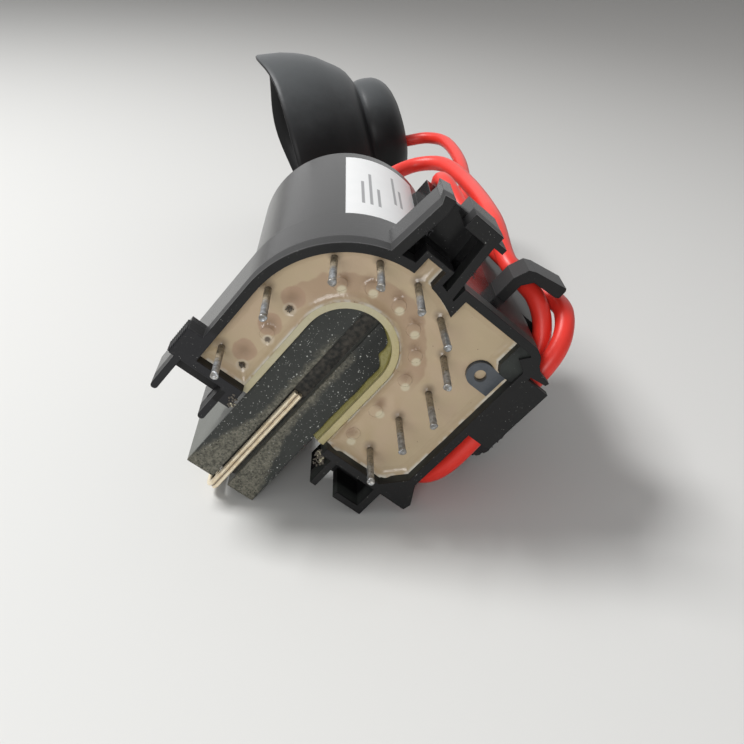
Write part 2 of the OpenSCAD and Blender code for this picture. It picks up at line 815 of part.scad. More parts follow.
module anode_cap() {
    color([0.1, 0.1, 0.11]) cap_frame() rotate_extrude() polygon([
        [0, cap_floor], [6, cap_floor], [boot_r - 1.5, cap_floor - 1], [boot_r + 3.8, bell_len * 0.79],
        [cap_r - 7.2, bell_len * 0.66], [cap_r - 4.5, bell_len * 0.485], [cap_r - 2.8, bell_len * 0.325],
        [cap_r - 1.9, bell_len * 0.19], [cap_r - cap_wall, 0], [cap_r, 0],
        [cap_r - 0.5, bell_len * 0.2], [cap_r - 1.3, bell_len * 0.335], [cap_r - 2.9, bell_len * 0.5],
        [cap_r - 5.5, bell_len * 0.68], [boot_r + 6, bell_len * 0.81], [boot_r + 3.4, bell_len * 0.93],
        [boot_r - 0.2, bell_len], [boot_r, bell_len + 1.8], [boot_r - 0.3, cap_len - 6.2],
        [boot_r - 1.6, cap_len - 3.6], [boot_r * 0.72, cap_len - 1.2], [boot_r * 0.45, cap_len], [0, cap_len]
    ]);
}

// Sprung contact in the cap: a base disc and two barbed prongs
module anode_clip() {
    base_r = 4.5;
    base_t = 1.2;
    prong_r = 0.9;
    prong_len = 13;
    prong_x = 2.8;
    color([0.78, 0.76, 0.7]) cap_frame() {
        translate([0, 0, cap_floor - base_t]) cylinder(r = base_r, h = base_t);
        for (side = [-1, 1]) translate([side * prong_x, 0, cap_floor - base_t - prong_len]) {
            cylinder(r = prong_r, h = prong_len + eps);
            rotate([0, side * 90, 0]) cylinder(r = prong_r, h = 2.6);
        }
    }
}

case();
potting();
lv_bobbin();
primary_winding();
hv_bobbin();
hv_winding();
hv_diodes();
core_front();
core_rear();
gap_spacers();
core_clip();
terminal_pins();
eyelet_tab();
divider_plate();
pack_cover();
focus_knob();
screen_knob();
focus_wiper();
screen_wiper();
label();
hv_outlet();
hv_lead();
anode_cap();
anode_clip();
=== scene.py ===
"""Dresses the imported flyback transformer: finishes, small details, the lead, the light and the camera."""

import json
import math

import bmesh
import bpy
from mathutils import Euler, Matrix, Vector, kdtree, noise


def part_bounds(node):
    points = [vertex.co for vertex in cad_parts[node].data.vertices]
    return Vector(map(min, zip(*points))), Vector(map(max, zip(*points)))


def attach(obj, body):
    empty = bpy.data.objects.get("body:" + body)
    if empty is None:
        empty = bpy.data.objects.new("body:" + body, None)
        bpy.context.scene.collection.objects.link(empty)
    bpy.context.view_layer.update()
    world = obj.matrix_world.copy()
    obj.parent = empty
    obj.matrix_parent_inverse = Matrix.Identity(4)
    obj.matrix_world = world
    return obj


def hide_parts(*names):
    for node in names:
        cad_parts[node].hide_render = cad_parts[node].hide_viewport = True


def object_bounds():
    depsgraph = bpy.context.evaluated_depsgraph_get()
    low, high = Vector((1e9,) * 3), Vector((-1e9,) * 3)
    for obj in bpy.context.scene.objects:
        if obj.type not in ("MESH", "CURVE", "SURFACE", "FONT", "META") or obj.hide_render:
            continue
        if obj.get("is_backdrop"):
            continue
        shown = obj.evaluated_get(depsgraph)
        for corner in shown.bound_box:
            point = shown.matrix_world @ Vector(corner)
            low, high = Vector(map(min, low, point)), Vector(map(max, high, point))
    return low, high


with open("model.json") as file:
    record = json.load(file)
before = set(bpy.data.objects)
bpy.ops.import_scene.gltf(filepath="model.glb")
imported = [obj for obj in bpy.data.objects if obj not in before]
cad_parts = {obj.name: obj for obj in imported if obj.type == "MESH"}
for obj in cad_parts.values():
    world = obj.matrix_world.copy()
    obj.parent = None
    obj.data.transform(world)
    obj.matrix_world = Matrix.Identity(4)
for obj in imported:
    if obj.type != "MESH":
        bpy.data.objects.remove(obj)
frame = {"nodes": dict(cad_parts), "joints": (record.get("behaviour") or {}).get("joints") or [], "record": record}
nodes = frame["nodes"]
CAD_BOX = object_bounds()
MM = 0.001

# The part's own frame: x across the slot, y along it, z from the rim inwards, in millimetres

KNOB_AXIS = frame["joints"][0]["axis"]
LAY = math.atan2(-KNOB_AXIS[2], KNOB_AXIS[0])
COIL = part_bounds("primary_winding")
AXIS_X = (COIL[0][0] + COIL[1][0]) / 2
AXIS_Z = (COIL[0][2] + COIL[1][2]) / 2
RIM_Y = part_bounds("case")[0][1]
TURN = Euler((-math.pi / 2, LAY, 0))
TO_ROW = Matrix.Translation((AXIS_X, RIM_Y, AXIS_Z)) @ TURN.to_matrix().to_4x4() @ Matrix.Scale(MM, 4)
TO_PART = TO_ROW.inverted()


def at(x, y, z):
    """A point of the part's own frame, in the row frame, in metres."""
    return TO_ROW @ Vector((x, y, z))


def part_box(name):
    """A node's lowest and highest corners in the part's own frame."""
    spots = [TO_PART @ v.co for v in nodes[name].data.vertices]
    return [Vector(pick(s[i] for s in spots) for i in range(3)) for pick in (min, max)]


UP = Vector((-math.sin(LAY), -math.cos(LAY)))
POT_Z = part_box("potting")[0].z
YOKE_Z = part_box("core_front")[0].z
PINS = [TO_PART @ Vector(m["pos_m"]) for m in frame["record"]["mounts"] if m["kind"] == "pin"]
POST_RING = 12.2
POST_R = 1.25
POST_ROW = POST_RING * 0.51
POST_TURNS = [math.radians(a) for a in (-43.6, -17.9, 8.2, 32.8, 57, 81)]
POSTS = [Vector((POST_RING * math.sin(a), -POST_RING * math.cos(a))) for a in POST_TURNS]
POSTS += [Vector((POST_RING, POST_ROW)), Vector((POST_RING, 2 * POST_ROW))]
PITS = [Vector((-12.0, 0.2)), Vector((-POST_RING, POST_ROW)), Vector((-11.8, 13.9))]
HOLES = [PITS[0], Vector((-11.5, 7.0)), PITS[2]]
BOBBIN_SPOTS = [TO_PART @ v.co for v in nodes["lv_bobbin"].data.vertices]
POST_TOP = min(spot.z for spot in BOBBIN_SPOTS if (spot.xy - POSTS[0]).length < POST_R + 0.1)
PALE_SPOTS = [
    (-7.6, -8.2), (-3.1, -11.0), (2.4, -11.4), (7.4, -9.7),
    (11.1, -5.9), (13.0, -0.9), (13.3, 6.3), (13.0, 14.1),
]
# Dimples above the posts: sunk into the resin and painted brown as shade.
SHADED_DIMPLES = [
    (-8.3, -9.9), (-4.9, -12.4), (0.7, -13.4), (5.8, -11.9),
    (9.2, -7.8), (11.5, -2.6), (11.8, 4.4), (11.6, 12.4),
]
PATCHES = [(-12.9, -1.9), (-12.9, 4.5), (-13.3, 11.2)]
TAG_EYE = Vector((21.5, -11.2))
TAG_R = 2.5
U_INNER = 8.0
SLOT_END = 18.0

# Camera

LENS = 40.16
SENSOR = 36
NEAR_CLIP = 0.005
EYE = at(-42.3, -51.6, -123.9)
LOOK_DOWN = math.radians(29.26)
LOOK_RIGHT = math.radians(1.96)
ROLL = math.radians(1.0)


def camera():
    data = bpy.data.cameras.new("camera")
    data.lens = LENS
    data.sensor_width = SENSOR
    data.clip_start = NEAR_CLIP
    eye = bpy.data.objects.new("camera", data)
    bpy.context.scene.collection.objects.link(eye)
    eye.matrix_world = (
        Matrix.Translation(EYE)
        @ Matrix.Rotation(-LOOK_RIGHT, 4, "Z")
        @ Matrix.Rotation(math.pi / 2 - LOOK_DOWN, 4, "X")
        @ Matrix.Rotation(ROLL, 4, "Z")
    )
    bpy.context.scene.camera = eye


camera()

# Node trees written as expressions


class Tone:
    """A socket of a node tree: arithmetic on it adds Math nodes."""

    def __init__(self, graph, socket):
        self.graph = graph
        self.socket = socket

    def __add__(self, other):
        return self.graph.math("ADD", self, other)

    def __sub__(self, other):
        return self.graph.math("SUBTRACT", self, other)

    def __rsub__(self, other):
        return self.graph.math("SUBTRACT", other, self)

    def __mul__(self, other):
        return self.graph.math("MULTIPLY", self, other)

    def __pow__(self, other):
        return self.graph.math("POWER", self, other)

    def __neg__(self):
        return self.graph.math("MULTIPLY", self, -1.0)

    def __abs__(self):
        return self.graph.math("ABSOLUTE", self)

    def __and__(self, other):
        return self.graph.math("MINIMUM", self, other)

    def __or__(self, other):
        return self.graph.math("MAXIMUM", self, other)

    __radd__ = __add__
    __rmul__ = __mul__

    def step(self, start, end):
        """0 before start and 1 after end, smooth between them."""
        settings = {"interpolation_type": "SMOOTHSTEP"}
        sockets = {"Value": self, "From Min": start, "From Max": end}
        return self.graph.node("ShaderNodeMapRange", settings, sockets)

    def below(self, end, soft):
        """1 up to end and 0 past it."""
        return 1 - self.step(end - soft, end + soft)


class Graph:
    def __init__(self, tree):
        self.tree = tree

    def node(self, kind, settings=None, sockets=None, out=0):
        """Adds a node with its settings and its sockets' values or links, and returns one of its outputs."""
        node = self.tree.nodes.new(kind)
        for name, value in (settings or {}).items():
            setattr(node, name, value)
        for name, value in (sockets or {}).items():
            for one in value if isinstance(value, list) else [value]:
                if isinstance(one, Tone):
                    self.tree.links.new(one.socket, node.inputs[name])
                else:
                    node.inputs[name].default_value = one
        return Tone(self, node.outputs[out])

    def math(self, operation, *values):
        return self.node("ShaderNodeMath", {"operation": operation}, dict(enumerate(values)))

    def vector(self, x, y, z):
        return self.node("ShaderNodeCombineXYZ", None, {"X": x, "Y": y, "Z": z})


# Finishes

NOISE_ROUGH = 0.55


class Finish(Graph):
    """One material, with the part's own millimetres as its coordinates."""

    def __init__(self, name, slot=None, **constants):
        self.slot = slot
        self.material = bpy.data.materials.new(name)
        self.material.use_nodes = True
        super().__init__(self.material.node_tree)
        self.shader = self.tree.nodes["Principled BSDF"]
        for socket, value in constants.items():
            self.shader.inputs[socket.replace("_", " ")].default_value = value
        place = self.node("ShaderNodeTexCoord", out="Object")
        settings = {"vector_type": "TEXTURE"}
        sockets = {"Vector": place, "Location": (AXIS_X, RIM_Y, AXIS_Z), "Rotation": TURN, "Scale": (MM, MM, MM)}
        self.mm = self.node("ShaderNodeMapping", settings, sockets)

    def part(self, letter):
        """One coordinate of the part's own frame, in millimetres."""
        return self.node("ShaderNodeSeparateXYZ", None, {"Vector": self.mm}, letter)

    def noise(self, size, detail=3, shift=0.0):
        """Soft noise from 0 to 1, with features of about that size in millimetres."""
        settings = {"noise_dimensions": "4D"}
        sockets = {"Vector": self.mm, "W": shift, "Scale": 1 / size, "Detail": detail, "Roughness": NOISE_ROUGH}
        return self.node("ShaderNodeTexNoise", settings, sockets)

    def specks(self, pitch, size, share, shift=0.0):
        """Round specks on a share of the cells of a random grid, all in millimetres."""
        moved = self.node("ShaderNodeVectorMath", {"operation": "ADD"}, {0: self.mm, 1: (shift, shift, shift)})
        sockets = {"Vector": moved, "Scale": 1 / pitch}
        spot = self.node("ShaderNodeTexVoronoi", None, sockets, "Distance").below(size / pitch, 0.25 * size / pitch)
        tint = self.node("ShaderNodeTexVoronoi", None, sockets, "Color")
        pick = self.node("ShaderNodeSeparateXYZ", None, {"Vector": tint}, "X")
        return spot * pick.below(share, 0.01)

    def mix(self, factor, low, high):
        """A colour between two others."""
        low, high = (tone if isinstance(tone, Tone) else (*tone, 1) for tone in (low, high))
        return self.node("ShaderNodeMix", {"data_type": "RGBA"}, {0: factor, 6: low, 7: high}, 2)

    def near(self, x, y):
        """Distance from a line along the axis, in millimetres."""
        across = self.part("X") - x
        along = self.part("Y") - y
        return (across * across + along * along) ** 0.5

    def nearest(self, places):
        """Distance from the nearest of several such lines."""
        far = self.near(*places[0])
        for place in places[1:]:
            far = far & self.near(*place)
        return far

    def use(self, **tones):
        for name, tone in tones.items():
            self.tree.links.new(tone.socket, self.shader.inputs[name.replace("_", " ")])

    def bump(self, height, depth, edge=0.0):
        """Bends the normal as a relief of that depth, and edges worn to that radius, would; in millimetres."""
        sockets = {"Strength": 1.0, "Distance": depth * MM, "Height": height}
        if edge:
            sockets["Normal"] = self.node("ShaderNodeBevel", {"samples": 4}, {"Radius": edge * MM})
        self.use(Normal=self.node("ShaderNodeBump", None, sockets))


def case_plastic():
    """Black moulding: dull on its front faces, greenish in the resin's box, grey on the left bracket, and painted near
    black as shade in that bracket's hollows.
    """
    finish = Finish("case_plastic", "black_case", Specular_IOR_Level=0.27)
    across, along, depth = (finish.part(letter) for letter in "XYZ")
    cloud = finish.noise(9, 4)
    grain = finish.noise(0.35, 2)
    front = depth.below(0.4, 0.2)
    inside = depth.step(0.3, 0.6) * depth.below(POT_Z + 0.2, 0.2)
    bracket = across.below(-9.5, 0.3) * along.step(10, 11) * front
    pack = across.step(14, 17)
    # Painted shade: the hollow beside the left bracket's fin and the strip under its plate.
    gap = abs(across + 12.6).below(1.0, 0.08) * abs(along - 19.7).below(1.25, 0.08)
    gap = gap | abs(along - 18.55).below(0.45, 0.06) * abs(across + 17.2).below(3.6, 0.1)
    dust = finish.noise(0.45, 2, shift=3).step(0.62, 0.74) * finish.noise(5, 3, shift=5).step(0.4, 0.62)
    specks = finish.specks(0.42, 0.05, 0.4) | finish.specks(0.9, 0.08, 0.3, shift=6)
    specks = specks * finish.noise(2.5, 3, shift=8).step(0.45, 0.6) * (front * 0.8 + 0.2)
    black = finish.mix(cloud, (0.006, 0.006, 0.0065), (0.013, 0.013, 0.013))
    black = finish.mix(inside * across.step(3, 6) * cloud.step(0.3, 0.6), black, (0.035, 0.039, 0.036))
    black = finish.mix(bracket, black, (0.014, 0.014, 0.016))
    # Painted shade: the left bracket's hollows are painted near black.
    black = finish.mix(gap * bracket, black, (0.002, 0.002, 0.002))
    dusty = finish.mix(dust * 0.2, black, (0.13, 0.125, 0.115))
    finish.use(
        Base_Color=finish.mix(specks * 0.75, dusty, (0.45, 0.45, 0.43)),
        Roughness=cloud * 0.06 + grain * 0.06 + (front * 0.14 | bracket * 0.25) + inside * 0.3 + pack * 0.2 + 0.15,
    )
    finish.bump(grain, 0.02, 0.22)
    return finish


def trim_plastic():
    finish = Finish("trim_plastic", "black_trim", Specular_IOR_Level=0.4)
    grain = finish.noise(0.5, 3)
    finish.use(Base_Color=finish.mix(grain, (0.01, 0.01, 0.011), (0.03, 0.03, 0.032)), Roughness=grain * 0.2 + 0.35)
    finish.bump(grain, 0.03, 0.25)
    return finish


def resin_tone(finish):
    """Beige with a brown ring round the slot, brown painted shade in the dimples above the posts and round the pins'
    feet, and pale posts that shine through.
    """
    cloud = finish.noise(8, 2).step(0.35, 0.65)
    tone = finish.mix(cloud, (0.49, 0.37, 0.25), (0.47, 0.37, 0.235))
    wave = finish.noise(4.5, 2, shift=2) * 3
    ring = abs(finish.near(0, 0) + wave - 13.7).below(2.2, 0.25) * finish.part("Y").below(-2.5, 2.5)
    tone = finish.mix(ring * 0.75, tone, (0.37, 0.25, 0.16))
    patch = finish.nearest(PATCHES) + finish.noise(2.2, 2, shift=9) * 0.8
    tone = finish.mix(patch.below(2.5, 0.2) * 0.7, tone, (0.37, 0.235, 0.155))
    tone = finish.mix(patch.below(1.5, 1.0) * 0.7, tone, (0.25, 0.165, 0.1))
    # Painted shade: brown darkening in the dimples just above the posts.
    shaded_dimple = finish.nearest(SHADED_DIMPLES) + finish.noise(1.5, 2, shift=3) * 0.7
    tone = finish.mix(shaded_dimple.below(1.35, 0.9) * 0.85, tone, (0.28, 0.185, 0.115))
    # Painted shade: a dark halo on the resin just above each pin's foot.
    foot_shade = finish.nearest([pin.xy + UP * 0.6 for pin in PINS])
    tone = finish.mix(foot_shade.below(0.95, 0.75) * 0.75, tone, (0.16, 0.115, 0.075))
    return finish.mix(finish.nearest(PALE_SPOTS).below(0.8, 0.25) * 0.8, tone, (0.62, 0.56, 0.4))


def resin():
    """Potting resin, paler in a thin line where it climbs the walls, with painted shade in its holes and a painted
    shadow beside the tag.
    """
    finish = Finish("resin", "potting_resin", Specular_IOR_Level=0.5)
    gap = finish.node("ShaderNodeAttribute", {"attribute_name": "gap"}, None, "Fac")
    shore = gap + finish.noise(3, 2, shift=6) * 1.6
    tone = finish.mix(abs(shore - 1.9).below(0.55, 0.12) * 0.3, resin_tone(finish), (0.4, 0.3, 0.18))
    tone = finish.mix(gap.below(0.3, 0.2) * finish.noise(2, 2, shift=7).step(0.35, 0.6) * 0.75, tone, (0.68, 0.67, 0.6))
    hole = finish.nearest(HOLES)
    tone = finish.mix(hole.below(1.15, 0.25) * 0.5, tone, (0.64, 0.56, 0.44))
    # Painted shade: the holes are dark at their middles.
    tone = finish.mix(hole.below(0.55, 0.25) * 0.85, tone, (0.05, 0.035, 0.025))
    # Painted shadow: a dark crescent on the resin along the tag's upper edge.
    tag_shadow = TAG_EYE + UP * 0.4
    tag_shadow = finish.near(tag_shadow.x, tag_shadow.y).below(TAG_R + 0.1, 0.1) * finish.near(*TAG_EYE).step(1.5, 1.8)
    tone = finish.mix(tag_shadow, tone, (0.02, 0.02, 0.018))
    crumb = finish.specks(1.6, 0.1, 0.25, shift=5)
    finish.use(
        Base_Color=finish.mix(crumb * 0.6, tone, (0.12, 0.07, 0.04)),
        Roughness=finish.noise(2, 3, shift=4) * 0.12 + 0.15,
    )
    finish.bump(finish.noise(1.4, 2, shift=2), 0.06)
    return finish


def bobbin_plastic():
    """Cream moulding, yellower on the right; the tops of its posts are covered with resin."""
    finish = Finish("bobbin_plastic", "cream_plastic")
    stain = finish.noise(4, 3)
    right = finish.part("X").step(-3, 7)
    cream = finish.mix(right, (0.48, 0.44, 0.3), (0.46, 0.4, 0.21))
    cream = finish.mix(stain.step(0.4, 0.7) * 0.4, cream, (0.4, 0.34, 0.18))
    top = finish.part("Z").step(POST_TOP - 0.4, POST_TOP - 0.2)
    covered = finish.nearest(POSTS + PITS[1:2]).below(1.5, 0.1) * top
    cream = finish.mix(covered, cream, resin_tone(finish))
    hole = finish.near(*HOLES[1])
    cream = finish.mix(hole.below(0.85, 0.2) * top * 0.6, cream, (0.62, 0.56, 0.45))
    # Painted shade: the hole on a post top is dark at its middle.
    cream = finish.mix(hole.below(0.5, 0.2) * top, cream, (0.12, 0.09, 0.065))
    finish.use(Base_Color=cream, Roughness=stain * 0.15 + 0.2)
    finish.bump(finish.noise(0.6, 2), 0.03, 0.15)
    return finish


def ferrite():
    """Sintered grey, with pale specks, pitted bands worn beside the groove, smooth lighter sides, and painted shade
    mixed with dirt in the groove.
    """
    finish = Finish("ferrite_grey", "ferrite", Specular_IOR_Level=0.22)
    across, along, depth = (finish.part(letter) for letter in "XYZ")
    cloud = finish.noise(5, 4)
    grey = finish.mix(cloud, (0.03, 0.032, 0.03), (0.05, 0.053, 0.049))
    grey = finish.mix(across.step(0.5, 3.5) * along.below(4, 6) * 0.75, grey, (0.016, 0.017, 0.016))
    side = depth.step(YOKE_Z + 0.3, YOKE_Z + 0.8)
    grey = finish.mix(side * 0.75, grey, (0.15, 0.155, 0.14))
    reach = (along - 19) * 0.28 | 0.0
    edge = abs(across) - reach + finish.noise(1.6, 5, shift=3) * 2.6
    worn = edge.below(4.1, 0.7) * (along + finish.noise(3, 3, shift=12) * 6).step(1, 8) * (1 - side)
    grain = finish.noise(0.45, 4, shift=6)
    band = finish.mix(grain.step(0.35, 0.65), (0.075, 0.073, 0.058), (0.2, 0.19, 0.15))
    grey = finish.mix(worn * 0.85, grey, band)
    pits = finish.specks(0.5, 0.12, 0.6, shift=9) * finish.noise(2.4, 3, shift=14).step(0.4, 0.55)
    grey = finish.mix(pits * worn * 0.9, grey, (0.012, 0.012, 0.011))
    pale = finish.specks(0.8, 0.13, 0.4) | finish.specks(0.4, 0.055, 0.6, shift=3)
    pale = pale | finish.specks(0.55, 0.08, 0.5, shift=7)
    pale = pale * finish.noise(2.2, 3, shift=7).step(0.3, 0.52) * (1 - worn * 0.75) * (1 - side)
    grey = finish.mix(pale * finish.noise(0.6, 2, shift=11).step(0.2, 0.55) * 0.9, grey, (0.54, 0.55, 0.52))
    # Painted shade mixed with dirt: the groove's walls are near black to dark brownish grey.
    groove = abs(across).below(1.68, 0.05) * depth.step(YOKE_Z + 0.4, YOKE_Z + 1.2) * depth.below(12, 1)
    groove_shade_and_dirt = finish.mix(finish.noise(0.9, 4, shift=2).step(0.35, 0.7), (0.005, 0.005, 0.005), (0.06, 0.052, 0.042))
    grey = finish.mix(groove * 0.9, grey, groove_shade_and_dirt)
    finish.use(Base_Color=grey, Roughness=cloud * 0.15 + worn * 0.2 + 0.34)
    finish.bump(finish.noise(0.45, 3, shift=6), 0.06, 0.5)
    return finish


def metal(name, slot, light, dark, size, rough):
    finish = Finish(name, slot, Metallic=1.0)
    stain = finish.noise(size, 3)
    finish.use(Base_Color=finish.mix(stain.step(0.4, 0.7), light, dark), Roughness=stain * 0.25 + rough)
    finish.bump(finish.noise(size / 3, 2), 0.03)
    return finish


def pin_metal():
    """Tinned wire: coated with brown flux at its foot, with painted shade where it enters the resin, grey and spotted
    further out.
    """
    finish = Finish("tinned_wire", "tinned_wire")
    out = finish.part("Z")
    stain = finish.noise(0.9, 3)
    flux = (out + stain * 4).step(-1.8, 0.2)
    # Painted shade: the wire is darker where it enters the resin.
    foot_shade = (out + stain).step(2.0, 3.6)
    cut = (-out + stain * 0.8).step(6.9, 7.5)
    grey = finish.mix(stain.step(0.35, 0.6), (0.42, 0.44, 0.46), (0.24, 0.24, 0.24))
    coated = finish.mix(finish.noise(0.6, 3, shift=4).step(0.35, 0.7), (0.33, 0.27, 0.18), (0.15, 0.115, 0.07))
    tone = finish.mix(foot_shade, finish.mix(flux * 0.9, grey, coated), (0.06, 0.045, 0.03))
    spots = finish.noise(0.5, 2, shift=8).step(0.6, 0.68)
    tone = finish.mix(spots * 0.75, tone, (0.03, 0.028, 0.025))
    finish.use(
        Base_Color=finish.mix(cut * stain.step(0.3, 0.6) * 0.7, tone, (0.2, 0.18, 0.15)),
        Metallic=0.6 - flux * 0.55,
        Roughness=stain * 0.25 + flux * 0.1 + 0.22,
    )
    finish.bump(finish.noise(0.35, 3), 0.08)
    return finish


def spring_metal():
    """Pale folded strip with a dark seam along its middle, painted as shade in the gap between its lips."""
    finish = Finish("spring_strip", "clip_steel")
    stain = finish.noise(1.6, 3)
    pale = finish.mix(stain.step(0.4, 0.7), (0.84, 0.74, 0.56), (0.72, 0.59, 0.4))
    # Painted shade along the gap between the lips.
    seam_shade = abs(finish.part("X") + finish.noise(3, 2) * 0.2 - 0.1).below(0.13, 0.06)
    finish.use(
        Base_Color=finish.mix(seam_shade * 0.9, pale, (0.09, 0.055, 0.03)),
        Metallic=0.35 - seam_shade * 0.3,
        Roughness=stain * 0.2 + 0.3,
    )
    finish.bump(finish.noise(0.5, 2), 0.03)
    return finish


def tag_metal():
    """Dull blue-grey tag with a dark rim round its eye."""
    finish = Finish("grey_tag", "grey_tag", Specular_IOR_Level=0.5)
    stain = finish.noise(1.2, 3)
    grey = finish.mix(stain, (0.05, 0.058, 0.068), (0.095, 0.105, 0.12))
    eye = finish.near(*TAG_EYE).below(1.12, 0.1)
    finish.use(Base_Color=finish.mix(eye * 0.85, grey, (0.01, 0.01, 0.01)), Roughness=stain * 0.2 + 0.25)
    finish.bump(finish.noise(0.4, 2), 0.03)
    return finish


LABEL_R = 18.95
LABEL_TURN = math.radians(-66) - LAY
# Each bar's place across the label and its two ends along it, in millimetres
LABEL_BARS = [(-4.6, -12, 2), (-3.0, -12, 8), (-1.4, -12, -1), (2.2, -6, 12), (3.6, -6, 5)]


def label_paper():
    """White label with plain printed bars along it."""
    finish = Finish("label_paper", "label_paper", Specular_IOR_Level=0.5)
    turn = finish.math("ARCTAN2", finish.part("Y"), finish.part("X"))
    low, high = part_box("label")
    across = (turn - LABEL_TURN) * LABEL_R
    along = finish.part("Z") - (low.z + high.z) / 2
    bars = None
    for place, start, end in LABEL_BARS:
        bar = abs(across - place).below(0.3, 0.06) * along.step(start, start + 0.1) * along.below(end, 0.05)
        bars = bar if bars is None else bars | bar
    white = finish.mix(finish.noise(5, 3), (0.72, 0.73, 0.73), (0.8, 0.8, 0.8))
    finish.use(Base_Color=finish.mix(bars * 0.75, white, (0.1, 0.1, 0.11)), Roughness=finish.noise(3, 2) * 0.1 + 0.3)
    return finish


def plain(name, slot, low, high, size, rough, **constants):
    finish = Finish(name, slot, **constants)
    cloud = finish.noise(size, 3)
    finish.use(Base_Color=finish.mix(cloud, low, high), Roughness=cloud * 0.15 + rough)
    finish.bump(finish.noise(size / 4, 2), 0.03)
    return finish


def cap_rubber():
    """Black rubber with painted light: grey on the faces that look up."""
    finish = Finish("cap_rubber", "black_rubber", Specular_IOR_Level=0.22)
    cloud = finish.noise(6, 3)
    rise = finish.node("ShaderNodeNewGeometry", out="Normal")
    rise = finish.node("ShaderNodeSeparateXYZ", None, {"Vector": rise}, "Z")
    black = finish.mix(cloud, (0.004, 0.004, 0.0045), (0.009, 0.009, 0.0095))
    # Painted light: the faces that look up are painted grey.
    top_light = (rise + cloud * 0.2).step(0.42, 1.12)
    finish.use(Base_Color=finish.mix(top_light, black, (0.07, 0.075, 0.078)), Roughness=cloud * 0.15 + 0.36)
    finish.bump(finish.noise(1.5, 2), 0.03)
    return finish


CASE = case_plastic()
TRIM = trim_plastic()
RESIN = resin()
CREAM = bobbin_plastic()
FERRITE = ferrite()
TINNED = pin_metal()
PAPER = label_paper()
SPRING = spring_metal()
TAG = tag_metal()
BRASS = metal("contact_brass", "contact_brass", (0.7, 0.5, 0.2), (0.45, 0.3, 0.12), 2.0, 0.3)
COPPER = metal("enamelled_wire", "enamelled_wire", (0.6, 0.27, 0.12), (0.4, 0.16, 0.07), 1.2, 0.3)
RUBBER = cap_rubber()
RED = plain("red_insulation", "red_lead", (0.72, 0.03, 0.02), (0.8, 0.042, 0.028), 5, 0.32, Specular_IOR_Level=0.4)
CARD = plain("spacer_card", "spacer_card", (0.5, 0.38, 0.18), (0.62, 0.5, 0.26), 3, 0.6)
DIVIDER = plain("divider_ceramic", "divider_ceramic", (0.78, 0.78, 0.74), (0.86, 0.86, 0.83), 4, 0.4)
GLUE = plain("core_glue", "potting_resin", (0.21, 0.18, 0.035), (0.27, 0.25, 0.11), 2.2, 0.2, Specular_IOR_Level=0.5)
GOO = plain("pale_glue", "potting_resin", (0.5, 0.45, 0.28), (0.66, 0.62, 0.5), 0.8, 0.25)
SCRAPS = plain("dark_scraps", "black_trim", (0.008, 0.007, 0.006), (0.22, 0.19, 0.15), 0.3, 0.5)

DRESS = {
    CASE: ("case", "pack_cover"),
    TRIM: ("focus_knob", "screen_knob", "hv_diodes"),
    RESIN: ("potting",),
    CREAM: ("lv_bobbin", "hv_bobbin"),
    FERRITE: ("core_front", "core_rear"),
    TINNED: ("terminal_pins",),
    SPRING: ("core_clip", "anode_clip"),
    TAG: ("eyelet_tab",),
    BRASS: ("focus_wiper", "screen_wiper"),
    COPPER: ("primary_winding", "hv_winding"),
    RUBBER: ("anode_cap", "hv_outlet"),
    PAPER: ("label",),
    CARD: ("gap_spacers",),
    DIVIDER: ("divider_plate",),
}


def dress_solids():
    for finish, names in DRESS.items():
        for name in names:
            nodes[name].data.materials.clear()
            nodes[name].data.materials.append(finish.material)


dress_solids()

# Lead

LEAD_D = 3.6
LEAD_ROUTE = [
    (6.5, 37, 41.5), (6.5, 45, 42), (9.5, 52.8, 42.2), (15.5, 55, 43.8), (21.5, 50.3, 45),
    (25.3, 35, 45), (26.9, 8, 45.9), (27.4, -6.5, 42.9), (29.5, -11.5, 40.75), (31.8, -15.2, 38.6),
    (32.9, -18, 34.8), (32, -19.8, 30), (27, -20.2, 23), (18.5, -19.6, 10.5), (12.5, -17, 4.5),
    (8, -9, 3), (6.5, 12, 3), (9, 30, 8), (15, 39, 19), (18, 40.5, 32), (18.5, 36.5, 43),
    (19, 26, 47.8), (23.5, 9.5, 43.3), (32, -6, 38.2), (35.9, -13, 37.2), (36.8, -17.8, 36.4),
    (35.6, -22.2, 33), (32, -24.4, 28), (24.5, -24.4, 18.5), (15.5, -23.5, 6.5), (9, -19, 2.8),
    (3.5, -10, 2.5), (2.5, 12, 2.5), (8, 41, 6), (20, 49, 17), (28, 60, 29.3), (30.8, 84, 34.4),
    (29.2, 109, 35.6), (24, 119, 35.1), (15.9, 121, 33.4),
]
LEAD_STEPS = 10
LEAD_ROUNDING = 5


def smooth_line(route, steps):
    """Points of the smooth curve through a route, in metres."""
    knots = [Vector(p) * MM for p in route]
    knots = [2 * knots[0] - knots[1], *knots, 2 * knots[-1] - knots[-2]]
    line = []
    for a, b, c, d in zip(knots, knots[1:], knots[2:], knots[3:]):
        for k in range(steps):
            t = k / steps
            bend = (2 * a - 5 * b + 4 * c - d) * t**2
            twist = (3 * b - a - 3 * c + d) * t**3
            line.append(0.5 * (2 * b + (c - a) * t + bend + twist))
    return [*line, knots[-2]]


def lead(end_pieces):
    line = smooth_line(LEAD_ROUTE, LEAD_STEPS)
    curve = bpy.data.curves.new("lead", "CURVE")
    curve.dimensions = "3D"
    curve.bevel_depth = LEAD_D / 2 * MM
    curve.bevel_resolution = LEAD_ROUNDING
    spline = curve.splines.new("POLY")
    spline.points.add(len(line) - 1)
    for point, place in zip(spline.points, line):
        point.co = (*place, 1)
    curve.materials.append(RED.material)
    piece = bpy.data.objects.new("lead", curve)
    bpy.context.scene.collection.objects.link(piece)
    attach(piece, "body")
    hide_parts("hv_lead")
    length = sum((b - a).length for a, b in zip(line, line[1:]))


